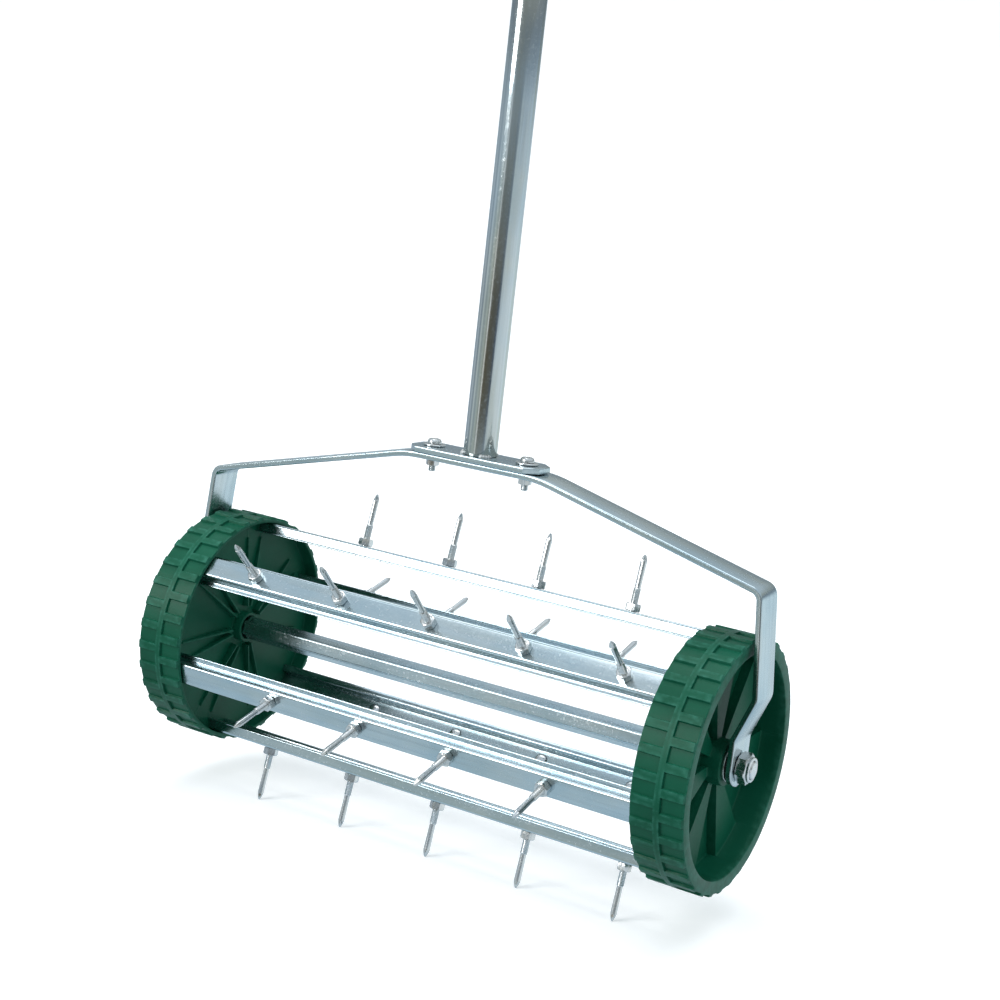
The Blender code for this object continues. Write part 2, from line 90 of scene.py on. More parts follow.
def box01(value, low, high, soft):
    # 1 between low and high, 0 outside, with ramps of width 2 * soft on the two ends
    return smoothStep((value - low + soft) / (2 * soft)) * smoothStep((high + soft - value) / (2 * soft))


def gridQuads(countA, countB, wrapA, wrapB):
    # corner numbers of the quads between neighbouring points, where point (a, b) is number a * countB + b
    a, b = np.meshgrid(np.arange(countA - (not wrapA)), np.arange(countB - (not wrapB)), indexing="ij")
    a2, b2 = (a + 1) % countA, (b + 1) % countB
    return np.stack([a * countB + b, a2 * countB + b, a2 * countB + b2, a * countB + b2], -1).reshape(-1, 4)


def gridPiece(name, grid, material, body, cadNodes, wrapA=True, wrapB=False, caps=False,
              worn=0.0, flow=None, sharp=38):
    # Neighbouring points of grid[a, b] make quads. Equal points are merged, which closes seams and
    # poles. caps closes the first and last rows with one face each. The edge mask marks edges painted
    # paler, partly as scuffs and partly as painted highlight, and flow holds the distances along and
    # around the piece that its finish follows.
    countA, countB = grid.shape[:2]
    faces = gridQuads(countA, countB, wrapA, wrapB).tolist()
    if caps:
        faces += [list(range(countB)), list(range((countA - 1) * countB, countA * countB))]
    mesh = bpy.data.meshes.new(name)
    mesh.from_pydata(grid.reshape(-1, 3).tolist(), [], faces)
    mesh.attributes.new("worn", "FLOAT", "POINT").data.foreach_set(
        "value", np.array(np.broadcast_to(worn, grid.shape[:2]), float).ravel())
    mesh.attributes.new("flow", "FLOAT_VECTOR", "POINT").data.foreach_set(
        "vector", np.array(grid if flow is None else flow, float).ravel())
    shell = bmesh.new()
    shell.from_mesh(mesh)
    bmesh.ops.remove_doubles(shell, verts=shell.verts, dist=0.000002)
    bmesh.ops.recalc_face_normals(shell, faces=shell.faces)
    shell.to_mesh(mesh)
    shell.free()
    mesh.shade_smooth()
    mesh.set_sharp_from_angle(angle=math.radians(sharp))
    mesh.materials.append(material)
    piece = bpy.data.objects.new(name, mesh)
    bpy.context.scene.collection.objects.link(piece)
    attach(piece, body)
    if cadNodes:
        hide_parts(*cadNodes)
    return piece


def ringPoints(profile, count, origin, axis, start):
    # a profile of (radius, along) carried round an axis; also returns its flow: along, arc, radius
    angle = np.linspace(0, math.tau, count, endpoint=False)[:, None]
    radius, along = profile[None, :, 0], profile[None, :, 1]
    grid = about(origin, axis, start, radius, along, angle)
    flow = np.stack(np.broadcast_arrays(along, radius * 0 + angle * radius.max(), radius), -1)
    return grid, flow


def hexRadius(angle, flat):
    # distance from the middle of a hexagon to its side, at each angle
    return flat / np.cos((angle + math.pi / 6) % (math.pi / 3) - math.pi / 6)


class Wire:
    # one socket, used in sums as if it were a number
    def __init__(self, finish, socket):
        self.finish, self.socket = finish, socket

    def sum(self, operation, first, second=None):
        return self.finish.add("ShaderNodeMath", {"operation": operation}, {0: first, 1: second})

    def __add__(self, other):
        return self.sum("ADD", self, other)

    def __radd__(self, other):
        return self.sum("ADD", other, self)

    def __sub__(self, other):
        return self.sum("SUBTRACT", self, other)

    def __rsub__(self, other):
        return self.sum("SUBTRACT", other, self)

    def __mul__(self, other):
        return self.sum("MULTIPLY", self, other)

    def __rmul__(self, other):
        return self.sum("MULTIPLY", other, self)


class Finish:
    def __init__(self, name, tree=None):
        if tree is None:
            self.material = bpy.data.materials.new(name)
            self.material.use_nodes = True
            tree = self.material.node_tree
            self.shader = tree.nodes["Principled BSDF"]
        self.tree = tree

    def add(self, kind, settings=None, sockets=None, output=0):
        node = self.tree.nodes.new(kind)
        for key, value in (settings or {}).items():
            if key == "stops":
                ramp = node.color_ramp
                while len(ramp.elements) < len(value):
                    ramp.elements.new(0.5)
                for element, (position, colour) in zip(ramp.elements, value):
                    element.position = position
                    element.color = (*colour, 1) if len(colour) == 3 else colour
            else:
                setattr(node, key, value)
        for key, value in (sockets or {}).items():
            self.feed(node.inputs[key], value)
        return Wire(self, node.outputs[output])

    def feed(self, socket, value):
        if isinstance(value, Wire):
            self.tree.links.new(value.socket, socket)
        elif value is not None:
            socket.default_value = value

    def set(self, **sockets):
        for key, value in sockets.items():
            self.feed(self.shader.inputs[key.replace("_", " ")], value)

    def place(self, scale=(1, 1, 1)):
        where = self.add("ShaderNodeTexCoord", output="Object")
        return self.add("ShaderNodeMapping", None, {"Vector": where, "Scale": scale})

    def flow(self, scale=(1, 1, 1)):
        where = self.add("ShaderNodeAttribute", {"attribute_name": "flow"}, output="Vector")
        return self.add("ShaderNodeMapping", None, {"Vector": where, "Scale": scale})

    def noise(self, where, scale, detail=3.0, rough=0.55):
        return self.add("ShaderNodeTexNoise", None,
                        {"Vector": where, "Scale": scale, "Detail": detail, "Roughness": rough})

    def ramp(self, value, low, high, out=(0.0, 1.0)):
        return self.add("ShaderNodeMapRange", {"clamp": True}, {
            "Value": value, "From Min": low, "From Max": high, "To Min": out[0], "To Max": out[1]})

    def mix(self, factor, first, second, how="MIX"):
        return self.add("ShaderNodeMix", {"data_type": "RGBA", "blend_type": how},
                        {"Factor": factor, 6: first, 7: second}, output=2)

    def bump(self, height, strength, distance):
        return self.add("ShaderNodeBump", None,
                        {"Height": height, "Strength": strength, "Distance": distance})


def greenPlastic():
    # a deep green with paler clouds, paler edges that are partly rubbed and partly painted highlight, and
    # fine scratches along the axle
    look = {"base": (0.0015, 0.070, 0.035, 1), "light": (0.0035, 0.098, 0.053, 1),
            "scuff": (0.060, 0.260, 0.190, 1), "grain": 1400, "clouds": 14}
    f = Finish("greenPlastic")
    where = f.place()
    clouds = f.noise(where, look["clouds"], 4)
    grain = f.noise(where, look["grain"], 2)
    scratches = f.noise(f.place((30, 260, 260)), 3.0, 3)
    worn = f.add("ShaderNodeAttribute", {"attribute_name": "worn"}, output="Fac")
    colour = f.mix(f.ramp(clouds, 0.35, 0.65), look["base"], look["light"])
    # paler edges: scuffs on the lug edges, and painted highlight on the rim edges, the dish mouth and the
    # ribs
    scuffsAndHighlights = worn * f.ramp(f.noise(where, 160, 4), 0.38, 0.70) * 0.42
    colour = f.mix(scuffsAndHighlights, colour, look["scuff"])
    fine = f.ramp(scratches, 0.62, 0.74) * 0.10
    colour = f.mix(fine, colour, look["scuff"])
    f.set(Base_Color=colour, Roughness=f.ramp(clouds, 0.3, 0.7, (0.34, 0.46)) + 0.12 * scuffsAndHighlights,
          Normal=f.bump(grain + 0.6 * scratches, 0.25, 0.0004), Specular_IOR_Level=0.18)
    return f.material


def zincPlate(name, look):
    # a bluish plating with olive and straw-coloured clouds, drawn out along the metal's length
    f = Finish(name)
    where, along = f.place(), f.flow((1.0, 9.0, 9.0))
    clouds = f.noise(where, look["clouds"], 4)
    streaks = f.noise(f.flow(look["stretch"]), look["streaks"], 4, 0.6)
    fine = f.noise(where, look["fine"], 3)
    colour = f.mix(f.ramp(clouds, 0.36, 0.64), look["blue"], look["grey"])
    tint = f.ramp(f.noise(along, look["tint"], 3), 0.48, 0.70) * look["olives"]
    colour = f.mix(tint, colour, look["olive"])
    colour = f.mix(f.ramp(streaks, 0.50, 0.72) * 0.35, colour, look["dark"])
    colour = f.mix(f.ramp(fine, 0.60, 0.75) * 0.25, colour, look["pale"])
    rough = f.ramp(streaks, 0.3, 0.7, look["rough"]) + 0.10 * f.ramp(fine, 0.5, 0.75)
    f.set(Base_Color=colour, Metallic=1.0, Roughness=rough,
          Normal=f.bump(streaks + 0.5 * fine, 0.12, 0.0003))
    return f.material


def rubber(name, base, pale, rough):
    # dark rubber with a fine grain and pale dust
    f = Finish(name)
    where = f.place()
    grain, dust = f.noise(where, 900, 2), f.noise(where, 60, 4)
    f.set(Base_Color=f.mix(f.ramp(dust, 0.5, 0.8) * 0.5, base, pale),
          Roughness=f.ramp(dust, 0.3, 0.7, (rough, rough + 0.12)), Normal=f.bump(grain, 0.3, 0.0004))
    return f.material


def weldMetal():
    # dull, spotted metal
    f = Finish("weldMetal")
    where = f.place()
    spots = f.noise(where, 420, 3)
    f.set(Base_Color=f.mix(f.ramp(spots, 0.4, 0.65), (0.72, 0.73, 0.72, 1), (0.36, 0.37, 0.36, 1)),
          Metallic=0.75, Roughness=f.ramp(spots, 0.3, 0.7, (0.38, 0.6)), Normal=f.bump(spots, 0.4, 0.0006))
    return f.material


plastic = greenPlastic()
zinc = zincPlate("zinc", {
    "blue": (0.46, 0.58, 0.64, 1), "grey": (0.58, 0.66, 0.69, 1), "olive": (0.48, 0.50, 0.43, 1),
    "dark": (0.34, 0.42, 0.47, 1), "pale": (0.80, 0.85, 0.87, 1), "olives": 0.35, "clouds": 16.0,
    "stretch": (12, 260, 260), "streaks": 1.0, "fine": 420.0, "tint": 7.0, "rough": (0.14, 0.26)})
zincTube = zincPlate("zincTube", {
    "blue": (0.52, 0.60, 0.65, 1), "grey": (0.62, 0.65, 0.64, 1), "olive": (0.46, 0.46, 0.36, 1),
    "dark": (0.36, 0.40, 0.42, 1), "pale": (0.76, 0.80, 0.81, 1), "olives": 0.6, "clouds": 12.0,
    "stretch": (7, 330, 330), "streaks": 1.0, "fine": 380.0, "tint": 5.0, "rough": (0.10, 0.18)})
brightZinc = zincPlate("brightZinc", {
    "blue": (0.68, 0.71, 0.73, 1), "grey": (0.76, 0.76, 0.74, 1), "olive": (0.58, 0.56, 0.48, 1),
    "dark": (0.34, 0.36, 0.37, 1), "pale": (0.88, 0.89, 0.89, 1), "olives": 0.30, "clouds": 90.0,
    "stretch": (60, 900, 900), "streaks": 1.0, "fine": 900.0, "tint": 40.0, "rough": (0.14, 0.28)})
darkRubber = rubber("darkRubber", (0.020, 0.024, 0.024, 1), (0.05, 0.055, 0.055, 1), 0.55)
gripRubber = rubber("gripRubber", (0.014, 0.014, 0.014, 1), (0.04, 0.04, 0.04, 1), 0.62)
weld = weldMetal()
print("finishes made")

# The wheels. Angles are in degrees, "phase" turns the panels about the axle.
wheel = {
    "innerX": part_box("wheel_right")[0].x, "width": 0.044, "radius": 0.100,
    "lugs": 33, "lugArc": 0.007, "lugHeight": 0.002, "ridge": (0.0195, 0.025),
    "rimWall": 0.003, "dish": (0.0895, 0.0888), "web": (0.013, 0.017),
    "panels": 7, "panelHalf": 13.0, "panelRise": 0.0075,
    "hubRadius": 0.018, "hubOut": 0.0342, "bore": 0.0074, "socket": 0.0108, "boss": 0.0135,
    "ribHalf": 6.5, "ribSpan": (0.019, 0.082), "ribRise": (0.0067, 0.0017), "ribThick": 0.0018,
    "phase": {"right": 3.0, "left": -4.9},
}


def wheelAngles(w):
    # columns close together at the edges of lugs, panels and ribs, in degrees
    step = 360 / w["lugs"]
    half = math.degrees(w["lugArc"] / 2 / w["radius"])
    lugEdges = (np.arange(2 * w["lugs"])[:, None] * step / 2 + [[-half, half]]).ravel()
    panels = np.arange(w["panels"])[:, None] * 360 / w["panels"]
    panelEdges = (panels + [[-w["panelHalf"], w["panelHalf"]]]).ravel()
    ribs = (panels + [[-w["ribHalf"], w["ribHalf"]]]).ravel()
    ribEdge = math.degrees(w["ribThick"] / 2 / 0.05)
    angles = np.concatenate([
        (lugEdges[:, None] + [[-0.2, -0.08, 0.08, 0.2]]).ravel(), np.arange(2 * w["lugs"]) * step / 2,
        (panelEdges[:, None] + [[-0.3, 0, 0.3]]).ravel(),
        (ribs[:, None] + ribEdge * np.array([[-1.25, -0.8, 0.8, 1.25]])).ravel(),
    ]) % 360
    angles = np.sort(angles)
    return angles[np.diff(angles, prepend=-1) > 0.03]


def away(angle, count, offset=0.0):
    # signed distance in degrees from the nearest of evenly spaced rays
    step = 360 / count
    return (angle - offset + step / 2) % step - step / 2


def makeWheel(side, w):
    # A closed profile (from the inner face, radius) turned about the axle, then moved: the tread
    # outwards at lugs and ridge, the dish floor up at the panels, the web's inner side up at the ribs.
    # The columns near a rib are drawn in or out so that the rib keeps one thickness at every radius.
    sign = 1 if side == "right" else -1
    r, wide, mm = w["radius"], w["width"], 0.001
    low, high = w["ridge"]
    profile = rounded([
        (0, r - w["rimWall"]), (0, r), (0.9 * mm, r), (0.0100, r),
        (low - 0.3 * mm, r), (low - 0.1 * mm, r), (low + 0.1 * mm, r), (low + 0.3 * mm, r),
        ((low + high) / 2, r),
        (high - 0.3 * mm, r), (high - 0.1 * mm, r), (high + 0.1 * mm, r), (high + 0.3 * mm, r),
        (0.0345, r), (wide - 1.0 * mm, r), (wide, r),
        (wide, w["dish"][0]), (0.036, w["dish"][0] - 0.0002), (0.027, w["dish"][0] - 0.0004),
        (w["web"][1], w["dish"][1]), (w["web"][1], 0.075), (w["web"][1], 0.055), (w["web"][1], 0.035),
        (w["web"][1], w["hubRadius"] + 0.0006), (0.026, w["hubRadius"] + 0.0003),
        (w["hubOut"], w["hubRadius"]), (w["hubOut"], 0.0125), (w["hubOut"], w["bore"]), (0.011, w["bore"]),
        (0.011, w["socket"]), (0.004, w["socket"]), (0.004, w["boss"]), (w["web"][0], w["boss"]),
        (w["web"][0], 0.0186), (w["web"][0], 0.0194), (w["web"][0], 0.030), (w["web"][0], 0.042),
        (w["web"][0], 0.055), (w["web"][0], 0.068), (w["web"][0], 0.0810), (w["web"][0], 0.0822),
        (w["web"][0], r - w["rimWall"]),
    ], np.array([0.5, 0.5] + [0] * 13 + [0.7, 0.8, 0, 0, 1.4, 0, 0, 0, 1.6, 0, 0.9, 0, 0.5, 0, 0,
                                         0.3, 0.5, 1.0] + [0] * 8 + [1.2]) * mm)
    u, radius = profile[None, :, 0], profile[None, :, 1]
    angle = wheelAngles(w)[:, None] + 0 * u
    onTread = radius > r - 0.9 * mm
    half = math.degrees(w["lugArc"] / 2 / r)
    outer, inner = away(angle, w["lugs"]), away(angle, w["lugs"], 180 / w["lugs"])
    outerLug = box01(outer, -half, half, 0.2) * box01(u, low, wide - 0.5 * mm, 0.35 * mm)
    innerLug = box01(inner, -half, half, 0.2) * box01(u, 0.5 * mm, high, 0.35 * mm)
    ridge = box01(u, low, high, 0.25 * mm) + 0 * angle
    rise = np.maximum(np.maximum(outerLug, innerLug), ridge) * onTread
    tight = half - 0.35
    tightLug = box01(outer, -tight, tight, 0.05) * box01(u, high, wide - 1.3 * mm, 0.1 * mm)
    tightInner = box01(inner, -tight, tight, 0.05) * box01(u, 1.3 * mm, low, 0.1 * mm)
    tightRidge = box01(u, low + 0.5 * mm, high - 0.5 * mm, 0.1 * mm)
    plateau = np.maximum(np.maximum(tightLug, tightInner), tightRidge)
    worn = smoothStep((rise - 0.55) / 0.4) * (1 - plateau) * onTread
    # The rim edges and the dish mouth are painted paler: partly scuffs, partly a painted highlight along
    # the edges.
    rim = (np.abs(radius - r) < 1.2 * mm) & ((u > wide - 0.8 * mm) | (u < 0.6 * mm))
    mouth = (np.abs(radius - w["dish"][0]) < 0.9 * mm) & (u > wide - 1.0 * mm)
    worn = np.maximum(worn, 0.8 * (rim | mouth))
    outRadius = radius + w["lugHeight"] * rise
    inDish = ((radius < w["dish"][0] + 0.1 * mm) & (radius > w["hubRadius"] - 1.0 * mm)
              & (u > w["web"][1] - 0.1 * mm))
    top = np.where(radius > 0.08, wide, w["hubOut"])
    panel = box01(away(angle, w["panels"]), -w["panelHalf"], w["panelHalf"], 0.3)
    lift = w["panelRise"] * panel * np.clip((top - u) / (top - w["web"][1]), 0, 1) * inDish
    worn = np.maximum(worn, 0.35 * (panel > 0.4) * (panel < 0.999) * inDish)
    onWeb = (np.abs(u - w["web"][0]) < 0.1 * mm) & (radius > 0.0152) & (radius < 0.095)
    ahead, behind = away(angle, w["panels"], w["ribHalf"]), away(angle, w["panels"], -w["ribHalf"])
    offset = np.where(np.abs(ahead) < np.abs(behind), ahead, behind)
    near, here = math.degrees(w["ribThick"] / 2 / 0.05), np.degrees(w["ribThick"] / 2 / radius)
    reach, size = w["ribHalf"], np.abs(offset)
    moved = np.where(size < near * 1.3, size * here / near,
                     1.3 * here + (size - 1.3 * near) * (reach - 1.3 * here) / (reach - 1.3 * near))
    angle = np.where(onWeb & (size < reach), angle + np.sign(offset) * (moved - size), angle)
    start, end = w["ribSpan"]
    share = np.clip((radius - start) / (end - start), 0, 1)
    tall = w["ribRise"][0] + (w["ribRise"][1] - w["ribRise"][0]) * share
    rib = (size < near) * box01(radius, start, end, 0.4 * mm) * onWeb
    # The ribs are painted paler: a painted highlight on ribs that catch the light.
    worn = np.maximum(worn, 0.5 * rib)
    along = u + lift - tall * rib
    turn = np.radians(w["phase"][side] + sign * angle)
    grid = about(axle, xAxis, zAxis, outRadius, sign * (w["innerX"] + along), turn)
    return gridPiece("wheel_%s_moulded" % side, grid, plastic, "drum", ["wheel_" + side],
                     wrapB=True, worn=worn, sharp=42)


for side in ("right", "left"):
    made = makeWheel(side, wheel)
print("wheels made,", len(made.data.polygons), "faces each")

# The spiked bars, numbered round the axle from the one nearest the top.
bars = {
    "top": math.sqrt(0.0965 ** 2 - 0.010 ** 2), "web": 0.020, "deep": 0.010, "lip": 0.005, "sheet": 0.0013,
    "fold": 0.0016, "half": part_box("bar_1")[1].x, "first": -14.8, "counts": (4, 5, 4, 5, 4, 5),
    "pitch": 0.088, "shift": 0.011,
}


def barFrame(index):
    # outward direction and the direction across the bar
    turn = math.radians(bars["first"] + 60 * index)
    return np.array([0, -math.sin(turn), math.cos(turn)]), np.array([0, math.cos(turn), math.sin(turn)])


def makeBar(index):
    # The hat section's middle line is offset to both sides by half the sheet, closed with round
    # edges, and drawn out along the axle.
    mid, side = bars["top"] - bars["sheet"] / 2, (bars["web"] - bars["sheet"]) / 2
    low = mid - bars["deep"] + bars["sheet"]
    line = rounded([(-side - bars["lip"], low), (-side, low), (-side, mid), (side, mid), (side, low),
                    (side + bars["lip"], low)], bars["fold"], 5, closed=False)
    ahead = np.gradient(line, axis=0)
    normal = np.stack([-ahead[:, 1], ahead[:, 0]], 1) / np.linalg.norm(ahead, axis=1)[:, None]
    half = bars["sheet"] / 2
    turn = np.linspace(0, math.pi, 5)[1:-1, None]
    farEnd = line[-1] + half * (np.cos(turn) * normal[-1] + np.sin(turn) * (1, 0))
    nearEnd = line[0] + half * (-np.cos(turn) * normal[0] + np.sin(turn) * (-1, 0))
    section = np.concatenate([line + normal * half, farEnd, (line - normal * half)[::-1], nearEnd])
    around = np.concatenate([[0], np.cumsum(np.linalg.norm(np.diff(section, axis=0), axis=1))])
    x = np.concatenate([[-bars["half"], -bars["half"] + 0.0004], np.linspace(-0.22, 0.22, 12),
                        [bars["half"] - 0.0004, bars["half"]]])
    inset = np.where(np.abs(x) > bars["half"] - 0.0002, 0.0003, 0)[:, None, None]
    centre = np.concatenate([line, np.zeros((len(farEnd), 2)) + line[-1],
                             line[::-1], np.zeros((len(nearEnd), 2)) + line[0]])
    shaped = section + (centre - section) * inset / half
    out, across = barFrame(index)
    grid = x[:, None, None] * xAxis + axle + shaped[..., :1] * across + shaped[..., 1:] * out
    flow = np.stack(np.broadcast_arrays(x[:, None] + 0.7 * index, around[None], 0.0), -1)
    node = "bar_%d" % (index + 1)
    return gridPiece(node + "_folded", grid, zinc, "drum", [node],
                     wrapA=False, wrapB=True, caps=True, flow=flow, sharp=50)


spike = {
    "length": 0.047, "headRadius": 0.0055, "headTall": 0.0024, "shank": 0.0030, "flat": 0.0056,
    "collar": 0.0031, "collarEnd": 0.0185, "pitch": 0.0011, "thread": 0.00035,
    "pin": 0.0027, "point": 0.0062, "tip": 0.0007,
}


def makeSpike(index, number, x):
    # One profile from the domed head inside the bar to the tip. The nut's rows follow a hexagon cut
    # by a cone, the collar's a helix, and the pin has four shallow flutes that become the point's faces.
    s, mm = spike, 0.001
    under, over = -bars["sheet"] - 0.3 * mm, 0.3 * mm
    dome = np.linspace(0, math.pi / 2, 6)
    head = np.stack([s["headRadius"] * np.sin(dome),
                     under - s["headTall"] * (0.25 + 0.75 * np.cos(dome))], 1)
    head = np.concatenate([head, [[s["headRadius"], under], [s["shank"], under], [s["shank"], over]]])
    nut = np.array([(5.15, 0), (5.75, 0.35), (6.6, 0.75), (6.6, 5.75),
                    (5.75, 6.15), (5.15, 6.5), (3.9, 6.5), (3.5, 6.2)]) * mm
    nut[:, 1] += over
    threadZ = np.arange(nut[-1, 1] + 0.1 * mm, s["collarEnd"], s["pitch"] / 4)
    thread = np.stack([np.full_like(threadZ, s["collar"]), threadZ], 1)
    neck = s["collarEnd"]
    pinZ = np.array([neck + 0.1 * mm, neck + 0.7 * mm, neck + 7 * mm, neck + 14 * mm,
                     s["length"] - s["point"] - 0.3 * mm, s["length"] - s["point"] + 0.4 * mm])
    pin = np.stack([np.full_like(pinZ, s["pin"]), pinZ], 1)
    pin[0, 0] = s["collar"] - 0.1 * mm
    pin[1:, 0] = s["pin"] * np.array([0.92, 0.94, 0.97, 1.0, 1.0])
    taper = np.linspace(0.10, 1, 8)
    point = np.stack([s["pin"] + (s["tip"] - s["pin"]) * taper ** 1.7,
                      s["length"] - s["point"] * (1 - taper)], 1)
    profile = np.concatenate([head, nut, thread, pin, point, [[0, s["length"]]]])
    kind = np.repeat([0, 1, 2, 3, 4, 0], [len(head), len(nut), len(thread), len(pin), len(point), 1])[None]
    angle = np.linspace(0, math.tau, 36, endpoint=False)[:, None] + 0 * kind
    radius, z = profile[None, :, 0] + 0 * angle, profile[None, :, 1] + 0 * angle
    radius = np.where(kind == 1, np.minimum(hexRadius(angle, s["flat"]), radius), radius)
    phase = (z / s["pitch"] - angle / math.tau) % 1
    radius = np.where(kind == 2, radius - s["thread"] * np.abs(2 * phase - 1), radius)
    flute = 0.5 - 0.5 * np.cos(4 * angle)
    radius = np.where(kind == 3, radius * (1 - 0.05 * flute), radius)
    radius = np.where(kind == 4, radius * (1 - 0.22 * flute * (z > s["length"] - s["point"])), radius)
    out, across = barFrame(index)
    spin = math.radians(37 * index + 71 * number)
    grid = about(axle + x * xAxis, out, xAxis, radius, bars["top"] + z, angle + spin)
    flow = np.stack([z + 0.05 * (7 * index + number), angle * 0.003, radius], -1)
    name = "%d_%d" % (index + 1, number + 1)
    return gridPiece("spike_%s_turned" % name, grid, brightZinc, "drum", ["spike_" + name],
                     flow=flow, sharp=34)


for index, count in enumerate(bars["counts"]):
    makeBar(index)
    for number in range(count):
        made = makeSpike(index, number, bars["shift"] + (number - (count - 1) / 2) * bars["pitch"])
print("bars and spikes made,", len(made.data.polygons), "faces each spike")


def threadedRod(name, half, radius, pitch, origin, axis, start, threadFrom, material, body, cadNodes):
    # a rod with round edges at both ends and a helical groove beyond threadFrom on each side
    threads = np.arange(threadFrom, half - 0.0012, pitch / 4)
    core = np.concatenate([[-half, -half, -half + 0.0009], -threads[::-1],
                           threads, [half - 0.0009, half, half]])
    profile = np.stack([np.full_like(core, radius), core], 1)
    profile[[0, -1], 0] = 0
    profile[[1, -2], 0] = radius - 0.0010
    angle = np.linspace(0, math.tau, 40, endpoint=False)[:, None]
    phase = (profile[None, :, 1] / pitch - angle / math.tau) % 1
    cut = (np.abs(profile[None, :, 1]) > threadFrom - 1e-6) & (np.abs(profile[None, :, 1]) < half - 0.0011)
    r = profile[None, :, 0] - 0.00055 * np.abs(2 * phase - 1) * cut
    grid = about(origin, axis, start, r, profile[None, :, 1], angle)
    flow = np.stack(np.broadcast_arrays(profile[None, :, 1], angle * radius, r), -1)
    return gridPiece(name, grid, material, body, cadNodes, flow=flow, sharp=40)


def ring(name, points, radii, count, origin, axis, start, material, body, cadNodes,
         steps=3, closed=True, sharp=38):
    # a round-cornered section carried once round the axis
    profile = rounded(points, radii, steps, closed)
    grid, flow = ringPoints(profile, count, origin, axis, start)
    return gridPiece(name, grid, material, body, cadNodes, wrapB=closed, flow=flow, sharp=sharp)


def hexNut(name, flat, tall, hole, origin, axis, start, material, body, cadNodes, collar=0.0, spin=0.0):
    # Rows of a hexagon held inside a cone at both ends, with an optional round nylon collar on top.
    corner = flat / math.cos(math.pi / 6)
    edge = (corner - flat) * 0.62
    shoulder = flat + (corner - flat) * 0.25
    rows = [(hole, 0.0006, 0), (hole + 0.0007, 0, 0), (flat * 0.93, 0, 0), (shoulder, edge * 0.45, 1),
            (corner, edge, 1), (corner, tall - collar - edge, 1),
            (shoulder, tall - collar - edge * 0.45, 1), (flat * 0.93, tall - collar, 0)]
    if collar:
        rows += [(flat * 0.90, tall - collar * 0.92, 0), (flat * 0.90, tall - collar * 0.35, 0),
                 (flat * 0.87, tall - collar * 0.12, 0), (flat * 0.80, tall, 0), (hole + 0.0006, tall, 0),
                 (hole, tall - 0.0006, 0)]
    else:
        rows += [(hole + 0.0007, tall, 0), (hole, tall - 0.0006, 0)]
    rows = np.array(rows)
    angle = np.linspace(0, math.tau, 48, endpoint=False)[:, None] + 0 * rows[None, :, 0]
    r = np.where(rows[None, :, 2] > 0,
                 np.minimum(hexRadius(angle, flat), rows[None, :, 0]), rows[None, :, 0])
    z = rows[None, :, 1] + 0 * angle
    grid = about(origin, axis, start, r, z, angle + math.radians(spin))
    flow = np.stack([z, angle * flat, r], -1)
    return gridPiece(name, grid, material, body, cadNodes, wrapB=True, flow=flow, sharp=30)


axleSizes = {
    "tube": 0.0105, "wall": 0.0015, "cornerCut": 0.00035, "faceTurn": 80.0,
    "rod": 0.007, "pitch": 0.0015, "threadFrom": 0.215, "washer": 0.014, "washerHole": 0.0073,
    "nutFlat": 0.011, "nutTall": 0.011, "nutCollar": 0.0022, "nutSpin": 12.0,
}


def makeAxleTube():
    # A hexagonal tube: the outer and inner walls follow hexagons, the outer one with its corners
    # cut to a round.
    size, end = axleSizes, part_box("axle_tube")[1].x
    bevel = end - 0.0004
    angle = np.linspace(0, math.tau, 144, endpoint=False)[:, None]
    turned = angle - math.radians(size["faceTurn"])
    flat = size["tube"] * math.cos(math.pi / 6)
    outer = np.minimum(hexRadius(turned, flat), size["tube"] - size["cornerCut"])
    inner = hexRadius(turned, flat - size["wall"])
    along = np.array([-end, -bevel, -0.1, 0.1, bevel, end, end, bevel, -bevel, -end])[None]
    share = np.array([0.3, 0, 0, 0, 0, 0.3, 0.8, 1, 1, 0.8])[None]
    grid = about(axle, xAxis, zAxis, outer + (inner - outer) * share, along + 0 * angle, angle)
    flow = np.stack(np.broadcast_arrays(along, angle * size["tube"], share), -1)
    return gridPiece("axle_tube_drawn", grid, zinc, "drum", ["axle_tube"],
                     wrapB=True, flow=flow, sharp=25)


def makeHubParts(side, sign):
    # the washer against a hub, the nut on the rod's end, and a rubber finish for the spacer
    size, out = axleSizes, sign * xAxis
    lo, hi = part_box("hub_washer_" + side)
    inner, outer = min(abs(lo.x), abs(hi.x)), max(abs(lo.x), abs(hi.x))
    ring("hub_washer_%s_pressed" % side,
         [(size["washer"], inner), (size["washer"], outer),
          (size["washerHole"], outer), (size["washerHole"], inner)],
         [0.0004, 0.0007, 0.0002, 0.0002], 48, axle, out, zAxis, brightZinc, "frame",
         ["hub_washer_" + side])
    lo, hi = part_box("axle_nut_" + side)
    inner = min(abs(lo.x), abs(hi.x))
    hexNut("axle_nut_%s_locking" % side, size["nutFlat"], size["nutTall"], size["rod"] + clearance,
           axle + inner * out, out, zAxis, brightZinc, "frame", ["axle_nut_" + side],
           collar=size["nutCollar"], spin=size["nutSpin"])
    spacer = frame["nodes"]["hub_spacer_" + side]
    spacer.data.materials.clear()
    spacer.data.materials.append(darkRubber)


makeAxleTube()
threadedRod("axle_rod_threaded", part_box("axle_rod")[1].x, axleSizes["rod"], axleSizes["pitch"],
            axle, xAxis, zAxis, axleSizes["threadFrom"], brightZinc, "frame", ["axle_rod"])
makeHubParts("right", 1)
makeHubParts("left", -1)
print("axle made")

yoke = {
    "wide": 0.032, "thick": 0.005, "edge": 0.0013, "top": 0.047 + bars["top"] + 0.0475,
    "armX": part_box("axle_nut_right")[0].x - clearance - 0.0025,
    "passX": wheel["innerX"] + wheel["width"] + 0.008 + 0.0025,
    "bends": (0.105, 0.009, 0.014, 0.014),
}


